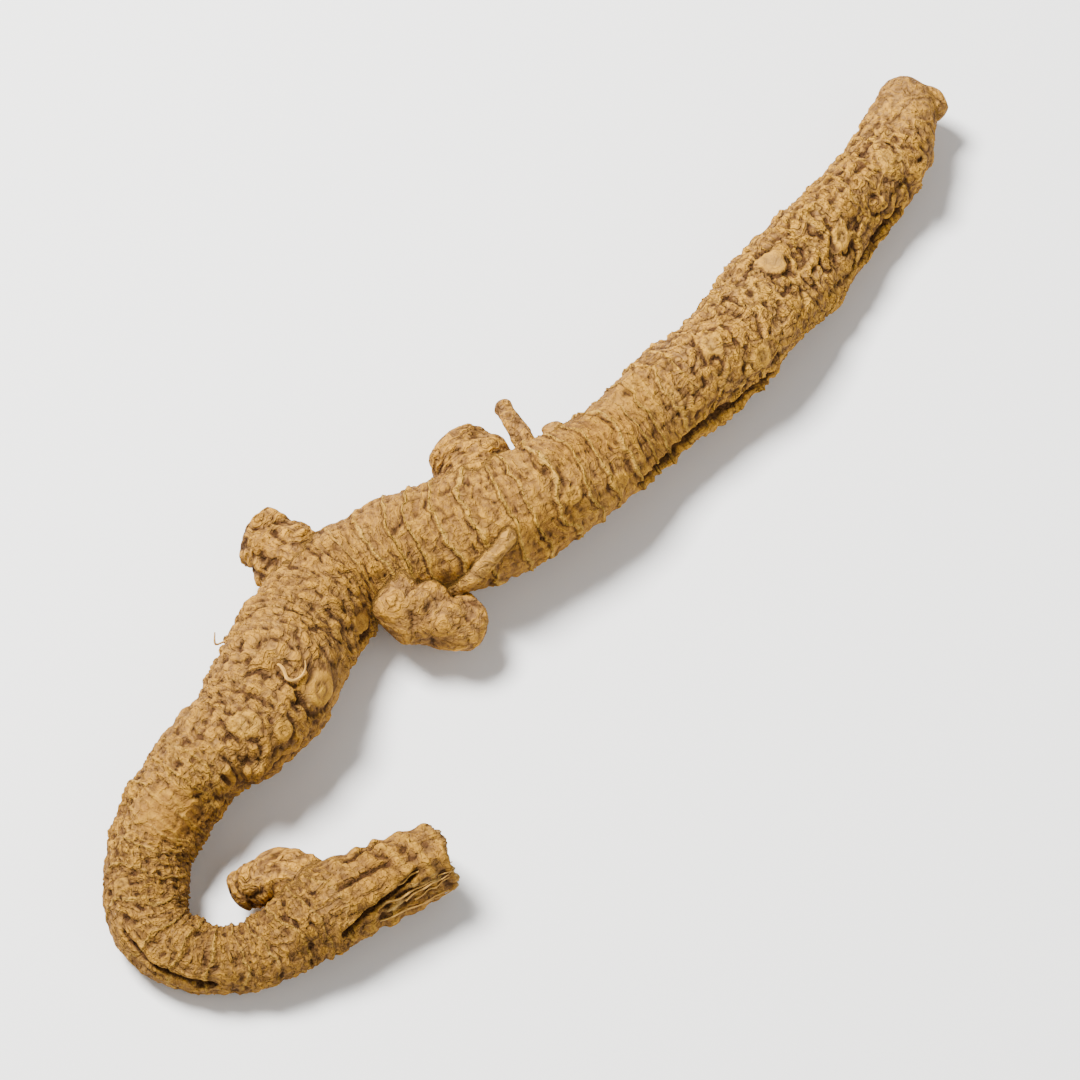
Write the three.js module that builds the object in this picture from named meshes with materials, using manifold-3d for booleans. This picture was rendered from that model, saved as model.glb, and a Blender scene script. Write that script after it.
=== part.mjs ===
// A dried orris root, whole and unpeeled, lying on its side.
// It grew as one piece: a long hooked root with rings, warts, a net of nodules, two worn stumps,
// side lobes and thin rootlets. Millimetres, +Z up, X and Y centred on its box, lying on Z = 0.
import * as THREE from "three";
import { mergeVertices } from "three/addons/utils/BufferGeometryUtils.js";
import Module from "manifold-3d";

const wasm = await Module();
wasm.setup();

// Driving dimensions, in millimetres. Angles are in degrees round the root, looking from the tip:
// 0 is the outer side of its bend, 90 the top, 180 the inner side and 270 the underside.

// The run of the root from its blunt tip to its broken end: x, y, height and radius.
const ROOT_RUN = [
  [56, 73, 6.5, 3.4],
  [55, 71, 6.5, 3.9],
  [53.5, 66, 6.5, 4.6],
  [50, 58.5, 6, 5.4],
  [44, 50.5, 5.5, 5.8],
  [38, 42.5, 6, 6.2],
  [29.5, 30.5, 7, 6.5],
  [21.5, 22, 8, 6.2],
  [14, 15, 8, 5.8],
  [6.5, 7.5, 9, 6.9],
  [-1.5, 2, 9, 7.3],
  [-10, -1, 8.5, 7.3],
  [-18, -3.5, 7.5, 7],
  [-24.5, -7.5, 7, 7.1],
  [-29, -15, 7.5, 7.3],
  [-31.5, -21.5, 8.5, 7.5],
  [-36, -28.5, 8, 6.9],
  [-40.5, -33, 7.5, 6],
  [-44.5, -38.5, 6.5, 5.6],
  [-47.5, -44, 5.5, 5],
  [-48, -49, 5, 4.8],
  [-47, -54.5, 4.5, 4.5],
  [-43.5, -58, 4, 4.2],
  [-38.5, -59.5, 4, 4.1],
  [-33.5, -58.5, 4, 4.2],
  [-28.5, -55.5, 5, 4.6],
  [-23.5, -52.5, 6, 5.3],
  [-17.5, -49.5, 6, 5.2],
  [-13, -47, 6, 4.9],
  [-10, -45.5, 6, 4.6],
];

// Side growths, each rooted inside the root: x, y, height and radius.
const SIDE_LOBE = [
  [-19, -6, 8, 4.4],
  [-15.5, -10.5, 8, 4.2],
  [-12.5, -12, 7.6, 3.9],
  [-9.5, -12.8, 6.8, 3.3],
  [-7, -12.3, 5.8, 3.2],
  [-5, -11.6, 4.8, 2.9],
];
const SHOULDER_STUMP = [
  [-3.5, 4, 8.5, 6],
  [-6, 8.5, 8.5, 5.2],
  [-8, 12, 8.2, 4.2],
  [-9.2, 14.4, 8, 3.4],
];
const ELBOW_STUMP = [
  [-26, -7.5, 7.5, 4.6],
  [-30.5, -4, 7.5, 4.2],
  [-33.5, -1, 7, 3.8],
  [-36, 1, 6.5, 3.4],
];
const THIN_ROOTLET = [
  [2, 7, 9, 1.8],
  [1, 11.5, 9.5, 1.5],
  [-1, 15.5, 9.5, 1.3],
  [-3, 19.5, 9, 1.1],
];
const KNOB = [
  [5.5, 9, 9.5, 1.7],
  [4.5, 12.6, 11, 1.5],
  [4, 14.8, 11.6, 1.7],
];
const HOOK_LOBE = [
  [-24.5, -53, 5.5, 3.6],
  [-27.7, -50, 6.5, 3.3],
  [-31, -48.6, 6.5, 2.8],
  [-34.2, -49.6, 5.6, 2.1],
  [-37, -51, 4.6, 1.2],
];
const TIP_LOBE = [
  [54.5, 70, 6.5, 3],
  [57.3, 69.2, 6.8, 2.4],
  [58.8, 67, 6.3, 1.8],
];

// A rootlet that lies on the bark: distance along the root, angle, height over the bark, radius.
const LYING_ROOTLET = [
  [94, 128, -0.6, 1.1],
  [96.5, 144, 0.5, 1.1],
  [99.5, 161, 0.6, 1.1],
  [102, 176, 0.4, 1.1],
  [104.5, 184, -0.4, 1],
];

// Warts that stand out by themselves: distance along the root, angle, radius across, height.
const WARTS = [
  [16.5, 102, 2, 0.7],
  [31, 123, 2.2, 0.8],
  [41, 78, 2.6, 0.9],
  [53.5, 141, 2.3, 0.8],
  [58, 96, 2.2, 0.8],
  [80.5, 150, 2.2, 0.9],
  [86.5, 128, 2.2, 0.9],
  [113, 120, 2, 1.1],
  [134.5, 147, 3.2, 1.3],
  [141, 139, 2.2, 1],
  [144, 112, 2.4, 1],
  [146, 158, 2.4, 1.3],
  [150, 142, 2.2, 0.9],
  [154, 168, 2.4, 1.1],
  [168.5, 57, 1.9, 0.6],
  [179, 96, 2.2, 0.9],
  [196, 66, 2.6, 0.9],
];

// The rest of the warts follow the golden angle: spacing along the root, size and height.
const SPREAD = { first: 13, last: 196, step: 2.3, turn: 137.5, radius: 1.9, height: 0.75 };

// Long cracks in the bark: the place where each starts and ends, half its width, and its depth.
const CRACKS = [
  { from: [18, 180], to: [31, 180], width: 1.1, depth: 1.1 },
  { from: [48, 180], to: [79, 180], width: 1.1, depth: 1.2 },
  { from: [199, 10], to: [212, 70], width: 1.1, depth: 1.4 },
  { from: [203, 120], to: [215, 150], width: 1, depth: 0.9 },
];

// Rings, and nodules set brick-wise along them, both a little larger than life.
const RING_PITCH = 3.5;
const RING_STEPS = [0, 0.34, 0.67];
const ROOT_SIDES = 24;
const NODULES_ROUND = ROOT_SIDES / 3;
const TIP_CAP = 3.6;
const END_FACE = [0.93, 0.62, 0.3];
const FRAY_HEIGHT = 0.6;
// The root rests on three worn flats, level at this height of its run.
const FLAT_HEIGHT = -0.15;

const BARK_COLOUR = "#b68a50";
const Z_AXIS = new THREE.Vector3(0, 0, 1);
const radians = THREE.MathUtils.degToRad;

// Shape of a curve through a run, by distance from its first point.
function axisOf(run) {
  const points = run.map(([x, y, z]) => new THREE.Vector3(x, y, z));
  const curve = new THREE.CatmullRomCurve3(points, false, "catmullrom", 0.5);
  curve.arcLengthDivisions = 40 * run.length;
  const radii = new THREE.SplineCurve(run.map((row, i) => new THREE.Vector2(i, row[3])));
  const length = curve.getLength();
  return {
    length,
    at(distance) {
      const t = curve.getUtoTmapping(THREE.MathUtils.clamp(distance / length, 0, 1));
      const forward = curve.getTangent(t);
      const outer = new THREE.Vector3().crossVectors(forward, Z_AXIS).normalize();
      const top = new THREE.Vector3().crossVectors(outer, forward);
      return { point: curve.getPoint(t), radius: radii.getPoint(t).y, forward, outer, top };
    },
  };
}

// How much a stretch from one distance to another counts, fading at both its ends.
function stretch(distance, from, to, fade = 4) {
  const rise = THREE.MathUtils.smoothstep(distance, from - fade, from + fade);
  const fall = THREE.MathUtils.smoothstep(distance, to - fade, to + fade);
  return rise * (1 - fall);
}

// Angle between two directions round the root, from -pi to pi.
function turnBetween(angle, other) {
  const turn = angle - other;
  return Math.atan2(Math.sin(turn), Math.cos(turn));
}

// A rounded wart: its height at a place on the bark.
function wartAt(distance, angle, girth, [at, degrees, across, height]) {
  const along = distance - at;
  const round = girth * turnBetween(angle, radians(degrees));
  const part = 1 - (along * along + round * round) / (across * across);
  return part > 0 ? height * part * part : 0;
}

const allWarts = [...WARTS];
for (let at = SPREAD.first, count = 0; at < SPREAD.last; at += SPREAD.step, count += 1) {
  const vary = (count * 0.618) % 1;
  const size = SPREAD.radius * (0.85 + 0.4 * vary);
  allWarts.push([at, (count * SPREAD.turn) % 360, size, SPREAD.height * (0.5 + 0.6 * vary)]);
}

// A crack that runs slanting over the bark: how deep it is at a place.
function crackAt(distance, angle, girth, { from, to, width, depth }) {
  const part = (distance - from[0]) / (to[0] - from[0]);
  if (part < 0 || part > 1) return 0;
  const middle = radians(from[1] + part * (to[1] - from[1]));
  const round = Math.abs(girth * turnBetween(angle, middle));
  const ends = Math.min(1, 6 * part, 6 * (1 - part));
  return depth * ends * Math.max(0, 1 - round / width);
}

// Rings don't run quite square to the root: how far a ring wanders along it.
function ringWander(distance, angle) {
  return 0.55 * Math.sin(2 * angle + distance / 13) + 0.3 * Math.sin(3 * angle - distance / 8 + 1);
}

// Height of the bark over the plain round root. A place between two rings has no ring number.
function barkRelief(distance, angle, radius, ring) {
  const inHook = stretch(distance, 163, 205, 5);
  const warty = stretch(distance, 10, 64, 5);
  const ringed = stretch(distance, 62, 116, 6);
  const net = stretch(distance, 112, 150, 5);
  const lower = stretch(distance, 148, 168, 5);
  const lump = 0.3 * Math.sin(distance / 5.1 + 2 * angle)
    + 0.26 * Math.sin(distance / 3.4 - angle + 1.3)
    + 0.2 * Math.sin(distance / 7.7 + 3 * angle + 0.6);
  let height = lump * (0.7 + 0.5 * warty + 0.3 * net);
  if (ring !== undefined) {
    const uneven = 0.75 + 0.25 * Math.sin(angle + 2.4 * ring);
    const brick = ((ring % 2) * 2 * Math.PI) / 3;
    const nodule = uneven * Math.cos(NODULES_ROUND * angle + brick);
    height += uneven * (0.35 * net + 0.3 * inHook + 0.25 * warty + 0.6 * ringed + 0.4 * lower);
    height += nodule * (0.6 * net + 0.5 * inHook + 0.45 * warty + 0.3 * lower + 0.1 * ringed);
  }
  for (const wart of allWarts) height += wartAt(distance, angle, radius, wart);
  for (const crack of CRACKS) height -= crackAt(distance, angle, radius, crack);
  // A thin lip of bark stands along the lower side of the two long cracks.
  const lip = Math.max(0, 1 - Math.abs(radius * turnBetween(angle, radians(198))) / 1.8);
  height += 0.5 * lip * (stretch(distance, 19, 31, 2) + stretch(distance, 49, 79, 2));
  // The broken end dried flatter, with ribs.
  const broken = stretch(distance, 200, 230, 4);
  height += broken * (0.6 * Math.cos(2 * (angle - radians(70))) + 0.3 * Math.cos(5 * angle + 0.8));
  return height;
}

// A closed solid swept along a run. Each profile row is the part of the radius that is reached
// and the distance along the run; shape gives the radius and the slip along the run at a place.
function sweep(axis, profile, sides, shape) {
  const lathe = new THREE.LatheGeometry(
    profile.map(({ reach, distance }) => new THREE.Vector2(reach, distance)), sides);
  lathe.deleteAttribute("normal");
  lathe.deleteAttribute("uv");
  const skin = mergeVertices(lathe);
  const places = skin.getAttribute("position");
  const place = new THREE.Vector3();
  for (let i = 0; i < places.count; i += 1) {
    place.fromBufferAttribute(places, i);
    const reach = Math.hypot(place.x, place.z);
    const angle = Math.atan2(place.z, place.x);
    const { radius, slip } = shape(place.y, angle, reach);
    const frame = axis.at(place.y);
    const at = frame.point.clone()
      .addScaledVector(frame.outer, radius * Math.cos(angle))
      .addScaledVector(frame.top, radius * Math.sin(angle))
      .addScaledVector(frame.forward, slip);
    places.setXYZ(i, at.x, at.y, at.z);
  }
  return solidOf(skin);
}

// A manifold solid of a geometry whose shared points are merged, without its empty triangles.
function solidOf(geometry) {
  const index = geometry.index.array;
  const corners = [];
  for (let i = 0; i < index.length; i += 3) {
    const [a, b, c] = [index[i], index[i + 1], index[i + 2]];
    if (a !== b && b !== c && c !== a) corners.push(a, b, c);
  }
  return new wasm.Manifold(new wasm.Mesh({
    numProp: 3,
    vertProperties: new Float32Array(geometry.getAttribute("position").array),
    triVerts: new Uint32Array(corners),
  }));
}

// The root itself, with its rings, nodules, warts and cracks.
function rootSolid() {
  const axis = axisOf(ROOT_RUN);
  const profile = [{ reach: 0, distance: 0 }];
  for (const part of [0.12, 0.42, 0.8]) {
    profile.push({ reach: Math.sqrt(1 - (1 - part) ** 2), distance: part * TIP_CAP });
  }
  const crests = new Map();
  const ringCount = Math.floor((axis.length - TIP_CAP) / RING_PITCH);
  for (let ring = 0; ring < ringCount; ring += 1) {
    const crest = TIP_CAP + (ring + 0.3) * RING_PITCH;
    crests.set(Math.fround(crest), ring);
    for (const step of RING_STEPS) profile.push({ reach: 1, distance: crest + step * RING_PITCH });
  }
  for (const reach of END_FACE) profile.push({ reach, distance: axis.length });
  profile.push({ reach: 0, distance: axis.length });
  const shape = (distance, angle, reach) => {
    const { radius } = axis.at(distance);
    const relief = barkRelief(distance, angle, radius, crests.get(distance));
    const nearEnds = stretch(distance, 6, axis.length - 6, 3);
    const atFace = distance > axis.length - 0.01 ? reach : 0;
    const fray = FRAY_HEIGHT * atFace * (Math.sin(5 * angle) + 0.6 * Math.cos(3 * angle + 1));
    return { radius: reach * (radius + relief), slip: nearEnds * ringWander(distance, angle) + fray };
  };
  return sweep(axis, profile, ROOT_SIDES, shape);
}

// A stump, lobe or rootlet: a short run with a rounded end and its own lumps and rings.
function growthSolid(run, { sides, pitch, relief, cap }) {
  const axis = axisOf(run);
  const profile = [{ reach: 0, distance: 0 }, { reach: 0.8, distance: 0.1 }];
  const count = Math.round((axis.length - cap) / (pitch / 2));
  for (let i = 1; i <= count; i += 1) {
    profile.push({ reach: 1, distance: (i * (axis.length - cap)) / count });
  }
  for (const part of [0.55, 0.9]) {
    profile.push({ reach: Math.sqrt(1 - part * part), distance: axis.length - cap * (1 - part) });
  }
  profile.push({ reach: 0, distance: axis.length });
  const shape = (distance, angle, reach) => {
    const { radius } = axis.at(distance);
    const ring = 0.5 + 0.5 * Math.cos((2 * Math.PI * distance) / pitch);
    const lump = 0.6 * Math.sin(2 * angle + distance) + 0.4 * Math.sin(3 * angle - 1.7 * distance);
    return { radius: reach * (radius + relief * (ring + lump - 0.5)), slip: 0 };
  };
  return sweep(axis, profile, sides, shape);
}

// A run over the bark of the root, turned into x, y, height and radius.
function runOnBark(rows) {
  const axis = axisOf(ROOT_RUN);
  return rows.map(([distance, degrees, lift, radius]) => {
    const frame = axis.at(distance);
    const out = frame.radius + lift;
    const place = frame.point.clone()
      .addScaledVector(frame.outer, out * Math.cos(radians(degrees)))
      .addScaledVector(frame.top, out * Math.sin(radians(degrees)));
    return [place.x, place.y, place.z, radius];
  });
}

const stumpLook = { sides: 12, pitch: 2.6, relief: 0.4, cap: 1.6 };
const lobeLook = { sides: 12, pitch: 2.8, relief: 0.35, cap: 2.4 };
const rootletLook = { sides: 7, pitch: 3, relief: 0.1, cap: 1 };

const growths = [
  growthSolid(SIDE_LOBE, lobeLook),
  growthSolid(SHOULDER_STUMP, stumpLook),
  growthSolid(ELBOW_STUMP, stumpLook),
  growthSolid(HOOK_LOBE, { ...lobeLook, sides: 10, cap: 1.2 }),
  growthSolid(TIP_LOBE, { ...lobeLook, sides: 9, cap: 1.3, relief: 0.15 }),
  growthSolid(THIN_ROOTLET, rootletLook),
  growthSolid(KNOB, { ...rootletLook, sides: 9, cap: 1.2 }),
  growthSolid(runOnBark(LYING_ROOTLET), rootletLook),
];

// The three flats that the root rests on are cut level by a slab below them.
function flatCutter(solid) {
  const { min, max } = solid.boundingBox();
  const margin = 10;
  const thick = 20;
  const slab = new THREE.BoxGeometry(
    max[0] - min[0] + 2 * margin, max[1] - min[1] + 2 * margin, thick);
  slab.translate((min[0] + max[0]) / 2, (min[1] + max[1]) / 2, FLAT_HEIGHT - thick / 2);
  slab.deleteAttribute("normal");
  slab.deleteAttribute("uv");
  return solidOf(mergeVertices(slab));
}

const grown = growths.reduce((whole, growth) => whole.add(growth), rootSolid());
const lying = grown.subtract(flatCutter(grown));
const mesh = lying.getMesh();
const geometry = new THREE.BufferGeometry();
geometry.setAttribute("position", new THREE.BufferAttribute(mesh.vertProperties, 3));
geometry.setIndex(new THREE.BufferAttribute(mesh.triVerts, 1));
geometry.computeVertexNormals();
geometry.computeBoundingBox();
const centre = geometry.boundingBox.getCenter(new THREE.Vector3());

const orrisRoot = new THREE.Mesh(geometry, new THREE.MeshStandardMaterial({
  color: BARK_COLOUR,
  roughness: 0.88,
  metalness: 0,
}));
orrisRoot.name = "orris_root";
orrisRoot.position.set(-centre.x, -centre.y, -FLAT_HEIGHT);

const part = new THREE.Group();
part.add(orrisRoot);
export default part;
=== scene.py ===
import math
from functools import partial
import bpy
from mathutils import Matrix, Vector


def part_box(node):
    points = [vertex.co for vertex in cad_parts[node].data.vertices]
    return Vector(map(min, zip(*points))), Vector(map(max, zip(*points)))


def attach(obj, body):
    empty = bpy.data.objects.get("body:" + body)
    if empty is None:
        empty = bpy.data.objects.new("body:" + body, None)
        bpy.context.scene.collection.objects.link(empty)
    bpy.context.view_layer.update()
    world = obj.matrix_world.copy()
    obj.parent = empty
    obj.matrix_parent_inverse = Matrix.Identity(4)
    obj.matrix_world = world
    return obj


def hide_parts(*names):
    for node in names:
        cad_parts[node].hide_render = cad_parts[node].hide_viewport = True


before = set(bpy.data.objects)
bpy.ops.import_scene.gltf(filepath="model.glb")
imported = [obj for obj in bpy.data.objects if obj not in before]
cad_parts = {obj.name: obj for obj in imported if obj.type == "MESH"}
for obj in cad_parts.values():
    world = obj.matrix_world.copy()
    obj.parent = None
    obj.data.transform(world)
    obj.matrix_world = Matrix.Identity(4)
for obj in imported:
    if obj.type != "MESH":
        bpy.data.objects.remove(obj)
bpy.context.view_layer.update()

from types import SimpleNamespace

import bmesh
import bpy
import numpy as np
from mathutils import Vector

MM = 0.001
TURN = 2 * math.pi

# The run of the root from its blunt tip to its broken end, as the solid has it:
# x, y, height and radius in millimetres.
ROOT_RUN = [
    (56, 73, 6.5, 3.4),
    (55, 71, 6.5, 3.9),
    (53.5, 66, 6.5, 4.6),
    (50, 58.5, 6, 5.4),
    (44, 50.5, 5.5, 5.8),
    (38, 42.5, 6, 6.2),
    (29.5, 30.5, 7, 6.5),
    (21.5, 22, 8, 6.2),
    (14, 15, 8, 5.8),
    (6.5, 7.5, 9, 6.9),
    (-1.5, 2, 9, 7.3),
    (-10, -1, 8.5, 7.3),
    (-18, -3.5, 7.5, 7),
    (-24.5, -7.5, 7, 7.1),
    (-29, -15, 7.5, 7.3),
    (-31.5, -21.5, 8.5, 7.5),
    (-36, -28.5, 8, 6.9),
    (-40.5, -33, 7.5, 6),
    (-44.5, -38.5, 6.5, 5.6),
    (-47.5, -44, 5.5, 5),
    (-48, -49, 5, 4.8),
    (-47, -54.5, 4.5, 4.5),
    (-43.5, -58, 4, 4.2),
    (-38.5, -59.5, 4, 4.1),
    (-33.5, -58.5, 4, 4.2),
    (-28.5, -55.5, 5, 4.6),
    (-23.5, -52.5, 6, 5.3),
    (-17.5, -49.5, 6, 5.2),
    (-13, -47, 6, 4.9),
    (-10, -45.5, 6, 4.6),
]
# The side growths, each rooted inside the root.
SIDE_LOBE = [
    (-19, -6, 8, 4.4),
    (-15.5, -10.5, 8, 4.2),
    (-12.5, -12, 7.6, 3.9),
    (-9.5, -12.8, 6.8, 3.3),
    (-7, -12.3, 5.8, 3.2),
    (-5, -11.6, 4.8, 2.9),
]
SHOULDER_STUMP = [
    (-3.5, 4, 8.5, 6),
    (-6, 8.5, 8.5, 5.2),
    (-8, 12, 8.2, 4.2),
    (-9.2, 14.4, 8, 3.4),
]
ELBOW_STUMP = [
    (-26, -7.5, 7.5, 4.6),
    (-30.5, -4, 7.5, 4.2),
    (-33.5, -1, 7, 3.8),
    (-36, 1, 6.5, 3.4),
]
THIN_ROOTLET = [
    (2, 7, 9, 1.8),
    (1, 11.5, 9.5, 1.5),
    (-1, 15.5, 9.5, 1.3),
    (-3, 19.5, 9, 1.1),
]
KNOB = [
    (5.5, 9, 9.5, 1.7),
    (4.5, 12.6, 11, 1.5),
    (4, 14.8, 11.6, 1.7),
]
HOOK_LOBE = [
    (-24.5, -53, 5.5, 3.6),
    (-27.7, -50, 6.5, 3.3),
    (-31, -48.6, 6.5, 2.8),
    (-34.2, -49.6, 5.6, 2.4),
    (-36.8, -51, 4.6, 1.5),
]
TIP_LOBE = [
    (54.5, 70, 6.5, 3),
    (57.3, 69.2, 6.8, 2.4),
    (58.8, 67, 6.3, 1.8),
]
# What lies on the bark is given by distance along the root in mm, angle, height over it, radius.
LYING_ROOTLET = [
    (94, 128, -0.6, 1.1),
    (96.5, 144, 0.5, 1.1),
    (99.5, 161, 0.6, 1.1),
    (102, 176, 0.4, 1.1),
    (104.5, 184, -0.4, 1),
]
CURLED_FIBRE = [
    (135.3, 97, -0.2, 0.12),
    (135.4, 102, 0.5, 0.24),
    (135.7, 107.5, 0.7, 0.28),
    (136.2, 113.5, 0.8, 0.25),
    (136, 119, 0.9, 0.2),
    (135.2, 122.5, 1, 0.16),
    (134.4, 121.5, 1.2, 0.13),
    (133.9, 117.5, 1.4, 0.1),
]
WHISKER = [
    (133, 14, -0.3, 0.18),
    (133.6, 17, 0.8, 0.16),
    (135.2, 20, 1.8, 0.13),
    (134.2, 26, 2.8, 0.1),
]
# Fibres frayed out of the torn bark at the broken end: how many, the distances and the angles
# between which they lie, and their radius.
FRAYED_COUNT = 7
FRAYED_START, FRAYED_END = 203, 215.5
FRAYED_FIRST_ANGLE, FRAYED_LAST_ANGLE = 2, 58
FRAYED_RADIUS = 0.13
# Warts that stand out: distance along the root, angle, radius across, height and kind.
WARTS = [
    (16.5, 102, 2, 0.5, "scar"),
    (31, 123, 2.2, 0.5, "scar"),
    (41, 78, 1.9, 0.75, "flake"),
    (53.5, 141, 2.3, 0.5, "scar"),
    (58, 96, 2.2, 0.5, "scar"),
    (80.5, 150, 2, 0.5, "scar"),
    (86.5, 128, 2, 0.5, "scar"),
    (109.6, 168, 1.6, 0.4, "scar"),
    (113, 120, 1.7, 0.9, "knob"),
    (122.2, 165, 1.7, 0.3, "flake"),
    (127.3, 141, 1.5, 0.4, "scar"),
    (134.8, 147, 2.4, 0.75, "button"),
    (141, 139, 2, 0.6, "scar"),
    (143.5, 108, 2.6, 0.8, "scar"),
    (146, 158, 2.4, 1.1, "knob"),
    (150, 143, 2.2, 0.7, "eye"),
    (154, 168, 2.4, 0.9, "knob"),
    (168.5, 57, 1.7, 0.35, "scar"),
    (179, 96, 2, 0.7, "knob"),
    (196, 66, 2.4, 0.8, "knob"),
]
# The rest of the warts: their distances, radius and height. Their angles follow the golden
# angle, and their sizes the golden ratio.
SPREAD_FIRST, SPREAD_LAST, SPREAD_STEP = 13, 196, 2.3
SPREAD_RADIUS, SPREAD_HEIGHT = 2, 0.5
GOLDEN_ANGLE, GOLDEN_PART = 137.5, 0.618
# Smooth orange-brown spots: distance, angle and radius.
SMOOTH_SPOTS = [(158.5, 112, 4.6), (121.6, 164, 2.4)]
# Long cracks: start and end as distance and angle, half the width, depth, height of the lip.
CRACKS = [
    ((18, 181), (31, 176), 0.45, 1, 0.5),
    ((48, 183), (79, 178), 0.45, 1.1, 0.6),
    ((198, 24), (211, 69), 0.36, 1.3, 0.35),
    ((202, 116), (209, 132), 0.3, 0.75, 0.15),
    ((200, 84), (208, 92), 0.3, 0.7, 0.1),
    ((172, 40), (184, 22), 0.4, 0.9, 0.2),
    ((120.5, 184), (125, 174), 0.4, 0.9, 0.1),
]

# Stretches of the root that differ in their bark: start, end and how far each fades, in mm.
STRETCHES = {
    "warty": (9, 66, 6),
    "ringed": (66, 115, 6),
    "net": (115, 150, 5),
    "lower": (150, 166, 4),
    "hook": (166, 200, 4),
}
# The smooth tip fades out, and the broken end fades in, between these distances.
TIP_FADE = (6, 14)
BROKEN_FADE = (197, 204)
# Where the bark is torn at the broken end: distances and fade, then the middle in degrees and
# the spread in radians.
TORN_START, TORN_END, TORN_FADE = 204, 230, 3
TORN_ANGLE, TORN_SPREAD = 32, 0.45
# How far apart rings and ribs lie along the root, and how wide a ring's line is, in mm.
RING_PITCH, FINE_RING_PITCH, RIB_PITCH = 3.5, 1.1, 2.9
RING_WIDTH, FINE_RING_WIDTH = 0.24, 0.22
# How far apart beads, pebbles and pits lie along the root in mm, and how many lie round it.
BEAD_PITCH, BEAD_COLUMNS = 1.28, 23
PEBBLE_PITCH, PEBBLE_COLUMNS = 1.9, 17
PIT_PITCH, PIT_COLUMNS = 2.1, 9
# The bark swells into a collar round a side growth: how high in mm, and how wide against the
# growth's radius.
COLLAR_HEIGHT, COLLAR_SPREAD = 1.1, 1.7

# The root's mesh: length of its rounded tip in mm, rows along it and columns round it.
TIP_CAP = 3.6
ROOT_ROWS, ROOT_COLUMNS = 740, 104
# Rows over a rounded end and over the broken face, the gap before that face in mm, and the
# share of the radius that its first row reaches.
TIP_ROWS, FACE_ROWS = 10, 12
FACE_GAP, FACE_REACH = 0.5, 0.94
# Vertices nearer than this are merged, in mm.
WELD = 0.002
# How many rings of vertices beside a growth's seam are softened, and how often.
SEAM_RINGS, SEAM_PASSES = 3, 6
# The solid is cut level this far under the run's zero height.
FLAT_LIFT = 0.15


# Helpers for smooth shapes by formula

def ease(low, high, value):
    """0 below low, 1 above high, and smooth between."""
    part = np.clip((value - low) / (high - low), 0, 1)
    return part * part * (3 - 2 * part)


def hump(off, width):
    """1 where off is 0, falling smoothly to about 0 at twice the width."""
    return np.exp(-(off / width) ** 2)


def creased(noise, width):
    """Rounded bumps up to 1 high, parted by sharp creases where noise crosses 0."""
    return 1 - np.exp(-np.abs(noise) / width)


def stretch(along, start, end, fade):
    """How much a stretch of the root counts, fading at both its ends."""
    return ease(start - fade, start + fade, along) * (1 - ease(end - fade, end + fade, along))


def turn_between(angle, other):
    """The turn to an angle from another one, the shorter way round, in radians."""
    return np.arctan2(np.sin(angle - other), np.cos(angle - other))


def soft_noise(x, y, z, seed):
    """Smooth noise from -1 to 1 with features about one unit across."""
    size = 32
    table = np.random.default_rng(seed).uniform(-1, 1, (size, size, size))
    cells, parts = [], []
    for value in (x, y, z):
        low = np.floor(value)
        part = value - low
        cells.append(low.astype(int))
        parts.append(part * part * (3 - 2 * part))
    total = 0
    for corner in range(8):
        steps = [(corner >> axis) & 1 for axis in range(3)]
        weight = 1
        for step, part in zip(steps, parts):
            weight = weight * (part if step else 1 - part)
        place = [(cell + step) % size for cell, step in zip(cells, steps)]
        total = total + weight * table[tuple(place)]
    return total


def layered_noise(x, y, z, seed):
    """Soft noise with noise of half its size and strength laid over it."""
    finer = soft_noise(2 * x, 2 * y, 2 * z, seed + 1)
    # The sum is at most 1.5, so this keeps it between -1 and 1.
    return (soft_noise(x, y, z, seed) + finer / 2) / 1.6


def sized_noise(x, y, z, along_size, round_size, seed):
    """Layered noise with features of these sizes along the root and round it, in mm."""
    return layered_noise(x / along_size, y / round_size, z / round_size, seed)


def swirl(x, y, z, along_size, round_size, seed):
    """Noise folded by slower noise, so that its lines wander and curl as bark folds do."""
    slow = 2.5 * round_size
    bend = soft_noise(x / slow, y / slow, z / slow, seed + 7)
    turn = soft_noise(x / slow, y / slow, z / slow, seed + 8)
    return sized_noise(
        x + 1.4 * along_size * bend, y + round_size * turn, z - round_size * turn,
        along_size, round_size, seed)


def spline_at(rows, t):
    """Places and slopes of the smooth curve through rows, at parameters t."""
    rows = np.array(rows, float)
    points = np.vstack([2 * rows[0] - rows[1], rows, 2 * rows[-1] - rows[-2]])
    cell = np.minimum(t.astype(int), len(rows) - 2)
    f = (t - cell)[:, None]
    a, b, c, d = (points[cell + step] for step in range(4))
    place = b + 0.5 * f * (c - a + f * (2 * a - 5 * b + 4 * c - d + f * (3 * (b - c) + d - a)))
    slope = 0.5 * (c - a) + f * (2 * a - 5 * b + 4 * c - d) + 1.5 * f * f * (3 * (b - c) + d - a)
    return place, slope[:, :3]


class Run:
    """A smooth run that gives its place, radius and directions at distances along it."""

    def __init__(self, rows):
        self.rows = rows
        self.t = np.linspace(0, len(rows) - 1, 120 * len(rows))
        places, _ = spline_at(rows, self.t)
        steps = np.linalg.norm(np.diff(places[:, :3], axis=0), axis=1)
        self.distances = np.concatenate([[0], np.cumsum(steps)])
        self.length = self.distances[-1]

    def at(self, distances):
        """Place, radius, and the directions forward, outward and upward, at distances."""
        place, forward = spline_at(self.rows, np.interp(distances, self.distances, self.t))
        forward = forward / np.linalg.norm(forward, axis=1)[:, None]
        outer = np.cross(forward, (0, 0, 1))
        outer = outer / np.linalg.norm(outer, axis=1)[:, None]
        top = np.cross(outer, forward)
        return place[:, :3], place[:, 3], forward, outer, top


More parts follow.
